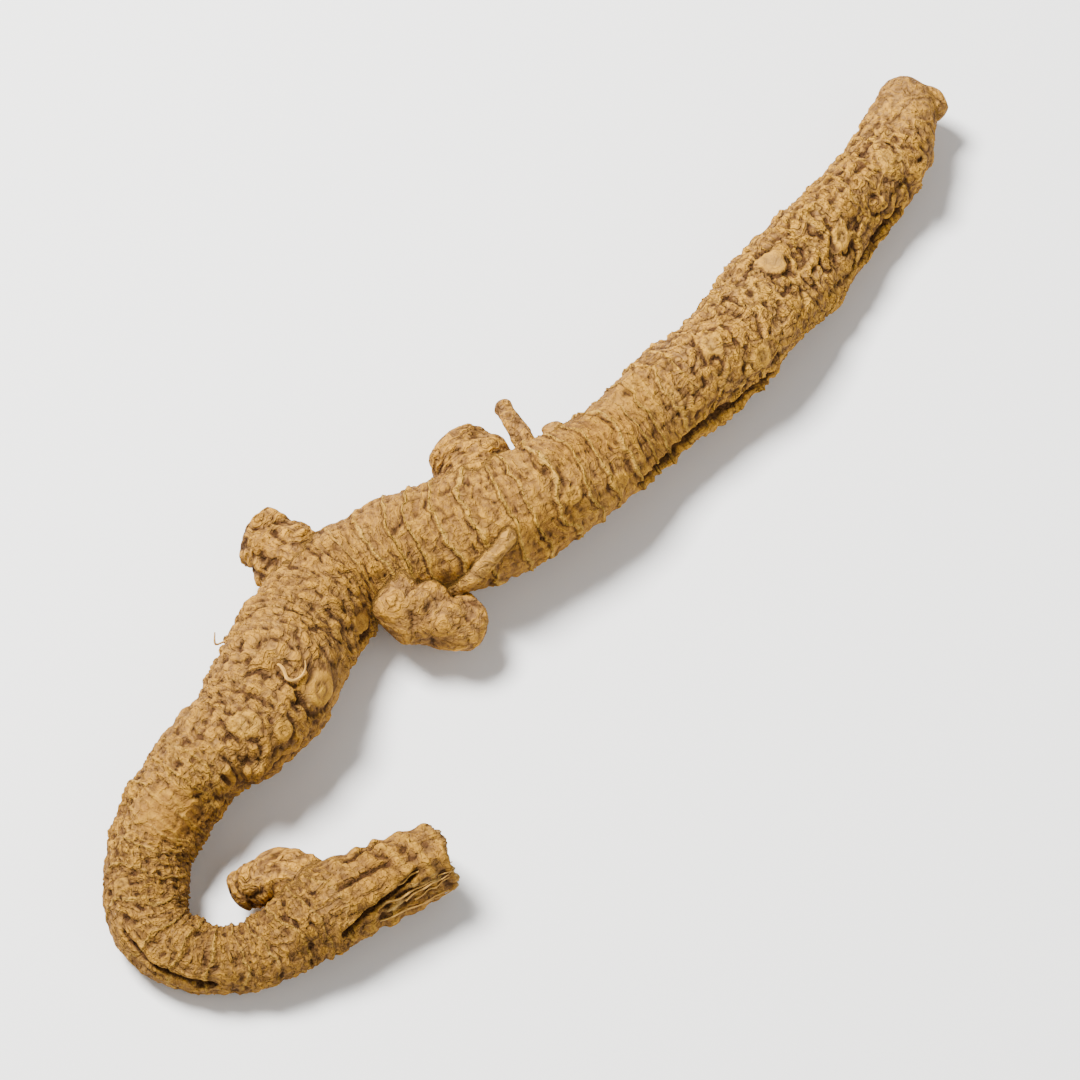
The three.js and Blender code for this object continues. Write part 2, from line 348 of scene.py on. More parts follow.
def blur(field, rows, columns):
    """A field smoothed by so many rows along the run and columns round it."""
    def spread(count, reach, closed):
        """How much each of a count of rows or columns takes from each of the others."""
        step = np.abs(np.arange(count)[:, None] - np.arange(count)[None, :])
        if closed:
            step = np.minimum(step, count - step)
        weight = np.exp(-0.5 * (step / reach) ** 2)
        return weight / weight.sum(axis=1)[:, None]
    around = spread(field.shape[1] - 1, columns, True)
    smooth = spread(field.shape[0], rows, False) @ field[:, :-1] @ around.T
    return np.hstack([smooth, smooth[:, :1]])


# Bark relief, all in millimetres on the unrolled bark

def beads(along, angle, pitch, columns, seed, jitter):
    """Brick-wise beads: their rounded tops from 0 to 1, and a number drawn for each bead."""
    rows, squash, radius = 512, 0.92, 0.68
    draw = np.random.default_rng(seed).uniform(-1, 1, (3, rows, columns))
    u = along / pitch
    v = angle / TURN * columns
    nearest = np.full(u.shape, 9.0)
    chosen = np.zeros(u.shape)
    for row_step in (-1, 0, 1):
        row = np.floor(u).astype(int) + row_step
        shift = 0.5 * (row % 2)
        for column_step in (-1, 0, 1):
            column = np.floor(v - shift).astype(int) + column_step
            key = (row % rows, column % columns)
            centre_u = row + 0.5 + jitter * draw[0][key]
            centre_v = column + 0.5 + shift + jitter * draw[1][key]
            gap = np.hypot(u - centre_u, squash * (v - centre_v))
            chosen = np.where(gap < nearest, draw[2][key], chosen)
            nearest = np.minimum(nearest, gap)
    return np.clip(1 - (nearest / radius) ** 2, 0, 1), chosen


def ring_lines(along, noise, pitch, width, seed):
    """Thin raised lines round the root, uneven in height and spacing, that come and go."""
    draw = np.random.default_rng(seed).uniform(-1, 1, (2, 256))
    ring = along / pitch
    number = np.round(ring).astype(int)
    off = (ring - number - 0.2 * draw[0][number % 256]) * pitch
    return hump(off, width) * (0.75 + 0.25 * draw[1][number % 256]) * ease(-0.75, 0.1, noise)


def wart_relief(along, angle, girth, wart, noise):
    """One wart over the whole bark: its rise, how smooth and how pale it is, and its painted shade."""
    at, degrees, across, height, kind = wart
    long_off = along - at
    round_off = girth * turn_between(angle, math.radians(degrees))
    off = np.hypot(long_off, round_off) / across * (1 + 0.2 * noise)
    inside = np.clip(1 - off ** 2, 0, 1)
    swell = height * inside ** 1.5
    if kind == "button":
        # A round dome with a ridge round its middle, and a moat on its lower side.
        below = ease(-0.2, 0.9, long_off / (across * (off + 0.1)))
        beside = ease(-0.4, 0.8, (long_off + round_off) / (1.4 * across * (off + 0.1)))
        moat = hump(off - 1.05, 0.11) * (0.1 + 0.9 * below) + 0.7 * hump(off - 1.42, 0.1) * below
        ridge = hump(off - 0.55, 0.12) * (0.3 + 0.7 * beside) + hump(off, 0.16)
        groove = hump(off - 0.3, 0.11) + 0.8 * hump(off - 0.8, 0.1)
        rise = height * ease(0, 0.8, inside) + 0.2 * ridge - 0.1 * groove - 0.4 * moat
        # The moat and the groove are darkened with painted shade.
        return rise, 0.85 * ease(0, 0.4, inside), ridge, 0.6 * moat + 0.3 * groove
    if kind == "scar":
        # A low swelling with a rim round a pale dimple, where a rootlet has gone.
        rim = hump(off - 0.5, 0.14)
        dimple = hump(off, 0.26)
        rise = swell + 0.26 * rim - 0.12 * dimple - 0.12 * hump(off - 0.78, 0.1)
        # Painted shade in the groove inside the rim and in the one round it.
        dark = 0.4 * hump(off - 0.3, 0.08) + 0.4 * hump(off - 0.76, 0.1)
        return rise, 0.55 * ease(0.25, 0.8, inside), 0.5 * rim + 0.5 * dimple, dark
    if kind == "eye":
        # A swelling with a short slot across it.
        slot = hump(long_off, 0.3) * hump(round_off, 1.1)
        rim = hump(off - 0.6, 0.15)
        # The slot is darkened with painted shade.
        return swell + 0.15 * rim - 0.9 * slot, 0.6 * inside, 0.4 * rim, slot
    if kind == "flake":
        # A thin level flake of bark with a shaded edge on one side.
        off = np.hypot(long_off, 0.85 * round_off) / across
        level = ease(0, 0.2, np.clip(1 - off ** 2, 0, 1))
        shade = ease(0, 0.6, round_off / across) * hump(off - 1.1, 0.16)
        return height * level - 0.4 * shade, 0.85 * level, 0.25 * level, shade
    none = 0 * off
    return swell, none, 0.15 * inside ** 2, none


def all_warts():
    """The warts that stand out, and the low swellings spread between them."""
    warts = list(WARTS)
    count = 0
    at = SPREAD_FIRST
    while at < SPREAD_LAST:
        vary = (count * GOLDEN_PART) % 1
        angle = (count * GOLDEN_ANGLE) % 360
        size = SPREAD_RADIUS * (0.75 + 0.4 * vary)
        warts.append((at, angle, size, SPREAD_HEIGHT * (0.5 + 0.6 * vary), "swelling"))
        at += SPREAD_STEP
        count += 1
    return warts


def crack_relief(along, angle, girth, crack, noise):
    """Depth of a slanting crack and the height of the thin lip beside it."""
    (start, start_angle), (end, end_angle), width, depth, lip = crack
    part = np.clip((along - start) / (end - start), 0, 1)
    middle = np.radians(start_angle + part * (end_angle - start_angle))
    off = girth * turn_between(angle, middle) + 0.6 * noise
    ends = ease(0, 0.12, part) * (1 - ease(0.88, 1, part))
    return depth * hump(off, width) * ends, lip * hump(off - 2.2 * width, width) * ends


def bark_place(along, angle, girth):
    """Places on the bark as if the root were straight, and the slow noise that bends its lines."""
    x, y, z = along, girth * np.cos(angle), girth * np.sin(angle)
    warp = sized_noise(x, y, z, 4, 4, 11)
    warp_round = sized_noise(x, y, z, 5, 5, 21)
    wander = 0.55 * np.sin(2 * angle + along / 13) + 0.3 * np.sin(3 * angle - along / 8 + 1)
    bent_along = along + wander + 0.8 * warp
    return SimpleNamespace(
        along=along, angle=angle, girth=girth, x=x, y=y, z=z,
        warp=warp, warp_round=warp_round, wander=wander,
        patchy=sized_noise(x, y, z, 6, 6, 41),
        bent_along=bent_along,
        bent_angle=angle + 0.12 * warp_round,
        ring_along=bent_along + 0.8 * sized_noise(x, y, z, 5, 2, 25))


def bark_stretches(along):
    """How much each stretch of the root counts at distances along it."""
    part = {name: stretch(along, *span) for name, span in STRETCHES.items()}
    part["tip"] = 1 - ease(*TIP_FADE, along)
    part["broken"] = ease(*BROKEN_FADE, along)
    return part


def by_stretch(part, **amounts):
    """An amount that differs from stretch to stretch of the root."""
    return sum(amount * part[name] for name, amount in amounts.items())


def bark_folds(spot, part):
    """Folds curling among the warts: their relief in mm, and the painted highlight on their crests."""
    x, y, z = spot.x, spot.y, spot.z
    bump = creased(swirl(x, y, z, 2.3, 2.5, 31), 0.22)
    small_bump = creased(swirl(x, y, z, 1, 1.2, 33), 0.25)
    crest = hump(swirl(x, y, z, 2.6, 4.5, 35), 0.09)
    cross_bump = creased(swirl(x, y, z, 1.3, 3.4, 37), 0.25)
    long_bump = creased(swirl(x, y, z, 3, 1.2, 39), 0.25)
    relief = bump * by_stretch(part, warty=0.62, net=0.08, broken=0.3)
    relief = relief + bump * by_stretch(part, ringed=0.2) * ease(-0.2, 0.5, spot.patchy)
    relief = relief + long_bump * by_stretch(part, lower=0.4, hook=0.25)
    relief = relief + small_bump * by_stretch(
        part, tip=0.22, warty=0.17, ringed=0.14, net=0.08, lower=0.2, hook=0.22, broken=0.15)
    relief = relief + cross_bump * by_stretch(
        part, ringed=0.2, lower=0.12, hook=0.28, broken=0.15)
    relief = relief + crest * by_stretch(part, warty=0.34, ringed=0.2, lower=0.2, hook=0.22)
    return relief, crest * by_stretch(part, warty=0.4, ringed=0.2, lower=0.4)


def bark_nodules(spot, part):
    """Bead-like nodules in rows where the bark is netted, and pebbles among the warts."""
    bead, draw = beads(spot.bent_along, spot.bent_angle, BEAD_PITCH, BEAD_COLUMNS, 51, 0.3)
    share = by_stretch(part, net=1) * ease(-1.3, 0, spot.patchy)
    share = share + by_stretch(part, hook=0.35) * ease(-0.2, 0.5, spot.patchy)
    relief = 0.85 * share * bead ** 0.7 * (0.75 + 0.3 * draw)
    pebble, draw = beads(spot.bent_along, spot.bent_angle, PEBBLE_PITCH, PEBBLE_COLUMNS, 52, 0.42)
    return relief + pebble * (0.7 + 0.4 * draw) * by_stretch(part, warty=0.22, lower=0.066)


def bark_rings(spot, part):
    """Growth rings, finer rings between them, and ribs near the broken end."""
    still = 0 * spot.along
    shift = 1.1 * soft_noise(spot.along / 5, still, still, 64)
    count = (spot.ring_along + shift) / RING_PITCH
    fade = ease(-0.75, 0, spot.patchy + 0.2)
    lines = hump((count - np.round(count)) * RING_PITCH, RING_WIDTH) * fade
    half = ring_lines(
        spot.ring_along + 0.9 * spot.warp_round, spot.warp - 0.2, RING_PITCH / 2, RING_WIDTH, 63)
    fine = ring_lines(
        spot.bent_along + 0.5 * spot.warp_round, spot.warp_round,
        FINE_RING_PITCH, FINE_RING_WIDTH, 62)
    ribs = np.cos(TURN * (spot.along + 1.5 * spot.wander) / RIB_PITCH)
    ribs = ribs * ease(-0.8, 0.2, spot.patchy)
    relief = (0.38 * lines + 0.2 * half) * by_stretch(
        part, warty=0.12, ringed=1, net=0.2, lower=0.45, hook=0.4)
    relief = relief + fine * by_stretch(part, ringed=0.12, lower=0.22, hook=0.1)
    relief = relief + ribs * by_stretch(part, broken=0.26)
    share = by_stretch(part, warty=0.12, ringed=1, net=0.2, lower=0.45, hook=0.7)
    # Painted highlight on the ring lines and on the ribs' crests.
    pale = (0.15 * lines + 0.3 * half) * share
    pale = pale + ease(0.5, 1, ribs) * by_stretch(part, broken=0.6)
    return SimpleNamespace(
        count=count, lines=lines, relief=relief, pale=pale, painted=share * fade)


def bark_grain(spot, part):
    """Wrinkles along the root, and fine grain, in mm."""
    wrinkle = sized_noise(spot.x, spot.y, spot.z, 7, 0.8, 71)
    depth = 0.12 + by_stretch(part, warty=0.1, ringed=0.04, broken=0.25)
    return depth * wrinkle + 0.08 * sized_noise(spot.x, spot.y, spot.z, 0.8, 0.8, 73)


def bark_pits(spot, part):
    """Pits where fibres have gone, mostly in the hook: 1 in a pit and 0 beside it."""
    pit, draw = beads(spot.bent_along, spot.bent_angle, PIT_PITCH, PIT_COLUMNS, 81, 0.45)
    return ease(0.92, 1, pit) * (draw > 0.6) * np.clip(by_stretch(part, warty=0.3, hook=1), 0, 1)


def slow_lumps(spot, part, collars):
    """The slow lumps that the solid has too, and the collars round the side growths."""
    along, angle = spot.along, spot.angle
    lump = 0.3 * np.sin(along / 5.1 + 2 * angle) + 0.26 * np.sin(along / 3.4 - angle + 1.3)
    lump = lump + 0.2 * np.sin(along / 7.7 + 3 * angle + 0.6)
    rise = lump * (0.7 + by_stretch(part, warty=0.5, net=0.3)) - 0.1
    rise = rise + np.cos(2 * (angle - math.radians(70))) * by_stretch(part, broken=0.6)
    rise = rise + np.cos(5 * angle + 0.8) * by_stretch(part, broken=0.3)
    for at, collar_angle, across in collars:
        off = np.hypot(along - at, spot.girth * turn_between(angle, collar_angle)) / across
        rise = rise + COLLAR_HEIGHT * np.clip(1 - off ** 2, 0, 1) ** 2
    return rise


def smooth_spots(spot):
    """1 in the smooth spots and 0 away from them."""
    total = 0
    for at, degrees, across in SMOOTH_SPOTS:
        round_off = spot.girth * turn_between(spot.angle, math.radians(degrees))
        total = total + 1 - ease(0.6, 1.2, np.hypot(spot.along - at, round_off) / across)
    return total


def root_bark(along, angle, girth, collars):
    """Relief of the root's bark and what its colour follows."""
    spot = bark_place(along, angle, girth)
    part = bark_stretches(along)
    x, y, z = spot.x, spot.y, spot.z
    folds, pale = bark_folds(spot, part)
    rings = bark_rings(spot, part)
    pit = bark_pits(spot, part)
    relief = folds + bark_nodules(spot, part) + rings.relief + bark_grain(spot, part) - 0.5 * pit
    pale = pale + rings.pale
    # Painted shade in the pits.
    hollow_shade = 0.4 * pit
    calm = by_stretch(part, tip=0.3, ringed=0.45, net=0.25, broken=0.2)

    # Warts smooth the bark that they rise from, and cracks cut it.
    rise = slow_lumps(spot, part, collars)
    uneven = soft_noise(x / 1.3, y / 1.3, z / 1.3, 66)
    for wart in all_warts():
        lift, smooth, light, dark = wart_relief(along, angle, girth, wart, uneven)
        rise = rise + lift
        relief = relief * (1 - 0.85 * smooth)
        calm = np.maximum(calm, smooth)
        pale = np.maximum(pale * (1 - smooth), light)
        # Painted shade in each wart's grooves, moat and slot.
        hollow_shade = np.maximum(hollow_shade * (1 - smooth), dark)
    for crack in CRACKS:
        depth, lip = crack_relief(along, angle, girth, crack, spot.warp_round)
        relief = relief + lip - depth
        pale = np.maximum(pale, 0.6 * lip)
        # Painted shade in the crack.
        hollow_shade = np.maximum(hollow_shade, ease(0.25, 0.8, depth))

    # Orange-brown where the bark is smooth.
    smooth_spot = smooth_spots(spot)
    amber = ease(-0.1, 0.6, sized_noise(x, y, z, 9, 6, 91))
    amber = amber * (0.35 + by_stretch(part, ringed=0.4, lower=0.5, broken=0.3))
    amber = amber + 0.9 * smooth_spot
    amber = amber + (1 - ease(0, 0.4, rings.lines)) * by_stretch(part, ringed=0.45)
    relief = relief * (1 - 0.5 * smooth_spot)
    calm = np.maximum(calm, 0.7 * smooth_spot)

    # Torn pale fibre, in strands, near the broken end.
    torn = stretch(along, TORN_START, TORN_END, TORN_FADE)
    torn = torn * hump(turn_between(angle, math.radians(TORN_ANGLE)), TORN_SPREAD)
    torn = torn * ease(-0.3, 0.4, sized_noise(x, y, z, 2.4, 0.8, 95))
    strand = sized_noise(x, y, z, 1.8, 0.55, 96)
    relief = relief * (1 - 0.6 * torn) + torn * 0.8 * strand
    # Painted shade between the strands.
    hollow_shade = np.maximum(hollow_shade, 0.6 * torn * ease(0.1, 0.6, -strand))
    torn = torn * ease(-0.4, 0.3, strand)

    # Painted shade, growing from the ringed stretch to the hook and the broken end.
    brown = by_stretch(part, ringed=0.45, net=0.5, lower=0.6, hook=0.9, broken=0.8)
    return rise + relief, {
        "pale": pale, "hollow_shade": hollow_shade, "amber": amber, "brown": brown, "torn": torn,
        "calm": calm, "rings": rings.count, "ringing": rings.painted * (1 - 0.3 * calm)}


def growth_bark(
        seed, fold, rings, size=2.4, bead=0.0, amber=0.2, pale=0.0, worn=0.0, calm=0.2):
    """Bark for a side growth: depths of its folds, rings and beads, the size of its folds, and
    how orange-brown, pale, worn at its end and free of fine lines it is."""
    def bark(along, angle, girth):
        x, y, z = along + 40 * seed, girth * np.cos(angle), girth * np.sin(angle)
        warp = sized_noise(x, y, z, 3, 3, seed)
        patchy = sized_noise(x, y, z, 4, 4, seed + 1)
        folds = creased(swirl(x, y, z, size, 1.2 * size, seed + 2), 0.3)
        small_folds = creased(swirl(x, y, z, 0.9, 1.1, seed + 3), 0.3)
        lines = ring_lines(x + 1.6 * warp, patchy + 0.1, 2.2, 0.28, seed + 4)
        beading, draw = beads(x + 0.5 * warp, angle + 0.15 * warp, 1.5, 14, seed + 5, 0.4)
        relief = fold * (folds + 0.4 * small_folds) + 2 * rings * lines
        relief = relief + bead * beading * (0.8 + 0.3 * draw) + 0.1 * patchy
        lump = 0.07 * girth * (np.sin(2 * angle + along) + 0.8 * np.sin(3 * angle - 1.3 * along))
        outer_part = ease(0.5 * along.max(), 0.9 * along.max(), along)
        none = 0 * relief
        return relief + lump, {
            # Painted highlight on the ring lines, over the growth's own paleness.
            "pale": np.clip(1.6 * rings * lines + pale, 0, 1), "hollow_shade": none,
            "amber": amber + 0.3 * patchy, "calm": none + calm,
            "torn": worn * outer_part * ease(-0.4, 0.4, patchy)}
    return bark


def fibre_bark(along, angle, girth):
    """A bare dry fibre, with hardly any relief."""
    rough = sized_noise(along, girth * np.cos(angle), girth * np.sin(angle), 0.5, 1, 201)
    return 0.25 * girth * rough, {"hollow_shade": 0 * rough}


# Mesh making

def ring_rows(length, count, cap, flat_end):
    """Where the rings of vertices lie along a run, and how far out of its middle each reaches."""
    cap_turn = np.linspace(0, math.pi / 2, TIP_ROWS + 1)
    reach = list(np.sin(cap_turn))
    distance = list(cap * (1 - np.cos(cap_turn)))
    middle = np.linspace(cap, length - (FACE_GAP if flat_end else cap), count)[1:]
    distance += list(middle)
    reach += [1] * len(middle)
    if flat_end:
        distance += [length] * FACE_ROWS
        reach += list(np.linspace(FACE_REACH, 0, FACE_ROWS))
    else:
        distance += list(length - cap * (1 - np.cos(cap_turn[-2::-1])))
        reach += list(np.sin(cap_turn[-2::-1]))
    return np.array(distance), np.array(reach)


def add_shade(height, fields):
    """Painted shade in the bark's dips, and a painted highlight where it stands out."""
    near, far = blur(height, 2, 1.8), blur(height, 5, 4.5)
    sunk = np.clip((near - height - 0.04) / 0.24, 0, 1)
    fields["hollow_shade"] = fields["hollow_shade"] + sunk + np.clip((far - height - 0.12) / 0.5, 0, 0.3)
    fields["proud_highlight"] = np.clip((height - near) / 0.14, 0, 1)
    fields["height"] = near
    if "torn" in fields:
        fields["hollow_shade"] = fields["hollow_shade"] * (1 - 0.5 * np.clip(fields["torn"], 0, 1))


def broken_face(on_face, reach, radius, angle, fields):
    """How far the ragged broken face stands out along the run, with its torn fibres."""
    y, z = radius * np.cos(angle), radius * np.sin(angle)
    ragged = 0.5 * np.sin(5 * angle) + 0.35 * np.cos(3 * angle + 1)
    fibre = layered_noise(y / 0.7, z / 0.7, 0 * y, 99)
    fields["torn"] = np.maximum(fields["torn"], on_face * ease(-0.6, 0.5, fibre))
    # Painted shade between the fibres of the broken face.
    fields["hollow_shade"] = fields["hollow_shade"] + on_face * ease(0.1, 0.7, -fibre)
    return on_face * (0.7 * reach * ragged + 0.6 * fibre - 0.8 * (1 - reach))


def run_surface(name, rows, count_along, count_round, cap, bark, flat_end=False):
    """A closed skin swept along a run, with its relief and the fields that its colour follows."""
    run = Run(rows)
    distance, reach = ring_rows(run.length, count_along, cap, flat_end)
    place, girth, forward, outer, top = run.at(distance)
    angle = np.linspace(0, TURN, count_round + 1)[None, :] + 0 * distance[:, None]
    along = distance[:, None] + 0 * angle
    girth = girth[:, None] + 0 * angle
    height, fields = bark(along, angle, girth)
    add_shade(height, fields)
    radius = reach[:, None] * (girth + height)
    slip = 0 * radius
    if flat_end:
        slip = broken_face(along >= run.length, reach[:, None], radius, angle, fields)
    points = (place[:, None, :]
              + (radius * np.cos(angle))[..., None] * outer[:, None, :]
              + (radius * np.sin(angle))[..., None] * top[:, None, :]
              + slip[..., None] * forward[:, None, :])
    # The bark's own place, as if the run were straight, for the grain that follows it.
    grain = np.stack([along, radius * np.cos(angle), radius * np.sin(angle)], axis=-1) * MM
    return closed_piece(name, points * MM, fields, grain)


def closed_piece(name, points, fields, grain):
    """A grid laid over points, with its seam and both its ends closed."""
    rows, columns = points.shape[0] - 1, points.shape[1] - 1
    sheet = bmesh.new()
    bmesh.ops.create_grid(sheet, x_segments=rows, y_segments=columns, size=1)
    mesh = bpy.data.meshes.new(name)
    sheet.to_mesh(mesh)
    sheet.free()
    flat = np.empty(3 * len(mesh.vertices))
    mesh.vertices.foreach_get("co", flat)
    flat = flat.reshape(-1, 3)
    row = np.rint((flat[:, 0] + 1) / 2 * rows).astype(int)
    column = np.rint((flat[:, 1] + 1) / 2 * columns).astype(int)
    mesh.vertices.foreach_set("co", points[row, column].ravel())
    for field, values in fields.items():
        layer = mesh.attributes.new(field, "FLOAT", "POINT")
        layer.data.foreach_set("value", values[row, column].astype(np.float32))
    layer = mesh.attributes.new("grain_place", "FLOAT_VECTOR", "POINT")
    layer.data.foreach_set("vector", grain[row, column].astype(np.float32).ravel())
    body = bmesh.new()
    body.from_mesh(mesh)
    bmesh.ops.remove_doubles(body, verts=body.verts, dist=WELD * MM)
    bmesh.ops.recalc_face_normals(body, faces=body.faces)
    for face in body.faces:
        face.smooth = True
    body.to_mesh(mesh)
    body.free()
    piece = bpy.data.objects.new(name, mesh)
    bpy.context.scene.collection.objects.link(piece)
    return piece


def run_on_bark(rows):
    """A run over the bark of the root, turned into x, y, height and radius."""
    place, girth, _, outer, top = Run(ROOT_RUN).at(np.array([row[0] for row in rows], float))
    result = []
    for i, (_, degrees, lift, radius) in enumerate(rows):
        out = girth[i] + lift
        angle = math.radians(degrees)
        spot = place[i] + out * (math.cos(angle) * outer[i] + math.sin(angle) * top[i])
        result.append((*spot, radius))
    return result


def leaving_place(rows):
    """Where a growth leaves the root: distance along the root, angle, and a collar's radius."""
    root = Run(ROOT_RUN)
    distances = np.linspace(0, root.length, 900)
    place, girth, _, outer, top = root.at(distances)
    growth = Run(rows)
    for spot, radius in zip(*growth.at(np.linspace(0, growth.length, 80))[:2]):
        gaps = np.linalg.norm(place - spot, axis=1)
        nearest = int(np.argmin(gaps))
        if gaps[nearest] > girth[nearest]:
            break
    off = spot - place[nearest]
    angle = math.atan2(off @ top[nearest], off @ outer[nearest])
    return distances[nearest], angle, COLLAR_SPREAD * radius


def join(whole, growth):
    """Fuse a side growth into the root and soften the seam between them."""
    for piece, value in ((whole, 0.0), (growth, 1.0)):
        side = piece.data.attributes.new("side", "FLOAT", "POINT")
        side.data.foreach_set("value", np.full(len(piece.data.vertices), value, np.float32))
    union = whole.modifiers.new("union", "BOOLEAN")
    union.operation = "UNION"
    union.solver = "MANIFOLD"
    union.object = growth
    graph = bpy.context.evaluated_depsgraph_get()
    fused = bpy.data.meshes.new_from_object(whole.evaluated_get(graph))
    whole.modifiers.clear()
    body = bmesh.new()
    body.from_mesh(fused)
    side = body.verts.layers.float["side"]
    seam = {
        vert for edge in body.edges for vert in edge.verts
        if abs(edge.verts[0][side] - edge.verts[1][side]) > 0.01}
    for _ in range(SEAM_RINGS):
        seam |= {edge.other_vert(vert) for vert in seam for edge in vert.link_edges}
    for _ in range(SEAM_PASSES):
        bmesh.ops.smooth_vert(
            body, verts=list(seam), factor=0.5, use_axis_x=True, use_axis_y=True, use_axis_z=True)
    body.to_mesh(fused)
    body.free()
    fused.attributes.remove(fused.attributes["side"])
    whole.data = fused
    bpy.data.objects.remove(growth)


LYING_RUN = run_on_bark(LYING_ROOTLET)
# Each side growth: its name, run, rows and columns of vertices, rounded end in mm, and bark.
GROWTHS = [
    ("side_lobe", SIDE_LOBE, 64, 60, 2.4,
     growth_bark(101, fold=0.5, size=2.2, rings=0.06, amber=0.3, worn=0.3, calm=0.35)),
    ("shoulder", SHOULDER_STUMP, 54, 66, 2,
     growth_bark(111, fold=0.5, size=1.8, rings=0.08, bead=0.3, amber=0.3)),
    ("elbow", ELBOW_STUMP, 50, 58, 1.8,
     growth_bark(121, fold=0.45, size=1.8, rings=0.06, bead=0.55)),
    ("hook_lobe", HOOK_LOBE, 56, 46, 1.2,
     growth_bark(131, fold=0.6, size=1.5, rings=0.05, bead=0.25, amber=0.3)),
    ("tip_lobe", TIP_LOBE, 26, 34, 1.3, growth_bark(141, fold=0.15, rings=0.03)),
    ("thin_rootlet", THIN_ROOTLET, 50, 22, 1, growth_bark(151, fold=0.12, rings=0.06)),
    ("knob", KNOB, 24, 28, 1.2, growth_bark(161, fold=0.12, rings=0.05, pale=0.15, calm=0.6)),
    ("lying_rootlet", LYING_RUN, 50, 20, 0.9,
     growth_bark(171, fold=0.14, rings=0.08, pale=0.2, calm=0.4)),
]


def make_root():
    """The root in its bark, with its side growths fused into it."""
    collared = (SIDE_LOBE, SHOULDER_STUMP, ELBOW_STUMP, HOOK_LOBE)
    collars = [leaving_place(rows) for rows in collared]
    collared_bark = partial(root_bark, collars=collars)
    root = run_surface(
        "dried_root", ROOT_RUN, ROOT_ROWS, ROOT_COLUMNS, TIP_CAP, collared_bark, flat_end=True)
    for name, rows, along, around, cap, bark in GROWTHS:
        join(root, run_surface(name, rows, along, around, cap, bark))
    return root


def frayed_fibres():
    """Loose strands that lie along the torn bark and stand off it towards the broken end."""
    draw = np.random.default_rng(301).uniform(-1, 1, (FRAYED_COUNT, 8))
    strands = []
    for i, angle in enumerate(np.linspace(FRAYED_FIRST_ANGLE, FRAYED_LAST_ANGLE, FRAYED_COUNT)):
        start = FRAYED_START + 3 * (1 + draw[i, 0])
        end = FRAYED_END - 1.5 * (1 + draw[i, 1])
        rows = []
        for step, part in enumerate(np.linspace(0, 1, 6)):
            turn = angle + 3 * draw[i, 2 + step] + 8 * part * draw[i, 0]
            lift = -0.4 + 0.65 * part + 0.25 * draw[i, 7 - step]
            rows.append((start + part * (end - start), turn, lift, FRAYED_RADIUS * (1.1 - 0.5 * part)))
        name = f"frayed_fibre_{i + 1}"
        strands.append(run_surface(name, run_on_bark(rows), 40, 8, 0.08, fibre_bark))
    return strands


def settle(root, others):
    """Put the root where its solid is, with its flats on the surface, and the rest with it."""
    low, high = (np.array(corner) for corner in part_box("orris_root"))
    shift = None
    for piece in [root] + others:
        mesh = piece.data
        points = np.empty(3 * len(mesh.vertices))
        mesh.vertices.foreach_get("co", points)
        points = points.reshape(-1, 3)
        if shift is None:
            shift = (low + high) / 2 - (points.min(axis=0) + points.max(axis=0)) / 2
            shift[2] = FLAT_LIFT * MM
        points += shift
        # The lowest bark is worn level with the surface that the root lies on.
        points[:, 2] = np.maximum(points[:, 2], low[2])
        mesh.vertices.foreach_set("co", points.ravel())
        mesh.update()


# Materials

def linear(code):
    """An sRGB hex colour as the linear colour that shaders take."""
    channels = [int(code[i:i + 2], 16) / 255 for i in (1, 3, 5)]
    return tuple(
        value / 12.92 if value <= 0.04045 else ((value + 0.055) / 1.055) ** 2.4
        for value in channels) + (1,)


def add(tree, kind, values=None, links=None, **settings):
    """Add a node with its settings, constant inputs and linked inputs."""
    made = tree.nodes.new(kind)
    for name, value in settings.items():
        setattr(made, name, value)
    for socket, value in (values or {}).items():
        made.inputs[socket].default_value = value
    for socket, source in (links or {}).items():
        tree.links.new(source, made.inputs[socket])
    return made


def mixed(tree, factor, first, second):
    """A mix of two colours, each a colour code or another node's output."""
    values, links = {}, {0: factor}
    for socket, source in ((6, first), (7, second)):
        if isinstance(source, str):
            values[socket] = linear(source)
        else:
            links[socket] = source
    return add(tree, "ShaderNodeMix", values, links, data_type="RGBA").outputs[2]


def ranged(tree, source, low, high, to_low=0.0, to_high=1.0):
    """A node's output mapped from one range to another, and kept within it."""
    values = {"From Min": low, "From Max": high, "To Min": to_low, "To Max": to_high}
    return add(tree, "ShaderNodeMapRange", values, {"Value": source}).outputs["Result"]


def calculate(tree, operation, *sources):
    """A calculation on numbers and other nodes' outputs."""
    values = {i: source for i, source in enumerate(sources) if isinstance(source, (int, float))}
    links = {i: source for i, source in enumerate(sources) if i not in values}
    return add(tree, "ShaderNodeMath", values, links, operation=operation).outputs[0]


def grain_noise(tree, place, along, across, detail=3):
    """Noise that runs with the bark: its size along the root and across it, in millimetres."""
    scale = (1 / (along * MM), 1 / (across * MM), 1 / (across * MM))
    sized = add(tree, "ShaderNodeMapping", {"Scale": scale}, {"Vector": place}).outputs["Vector"]
    return add(tree, "ShaderNodeTexNoise", {"Scale": 1.0, "Detail": detail},
               {"Vector": sized}).outputs["Fac"]


def crease_lines(tree, place, along, across, width):
    """Thin wandering lines where noise crosses its middle: 1 on a line and 0 away from it."""
    noise = grain_noise(tree, place, along, across, 2)
    off = calculate(tree, "ABSOLUTE", calculate(tree, "SUBTRACT", noise, 0.5))
    return ranged(tree, off, 0, width, 1, 0)


def ring_line(tree, rings, shift, width):
    """1 where the count of rings passes a whole number and a shift, 0 a width away from it."""
    part = calculate(tree, "FRACT", calculate(tree, "ADD", rings, 0.5 - shift))
    off = calculate(tree, "ABSOLUTE", calculate(tree, "SUBTRACT", part, 0.5))
    return ranged(tree, off, 0, width, 1, 0)


# What the mesh of the bark carries for its colour, each a number at every vertex.
BARK_FIELDS = (
    "pale", "hollow_shade", "amber", "brown", "torn", "proud_highlight", "height", "calm", "rings", "ringing")


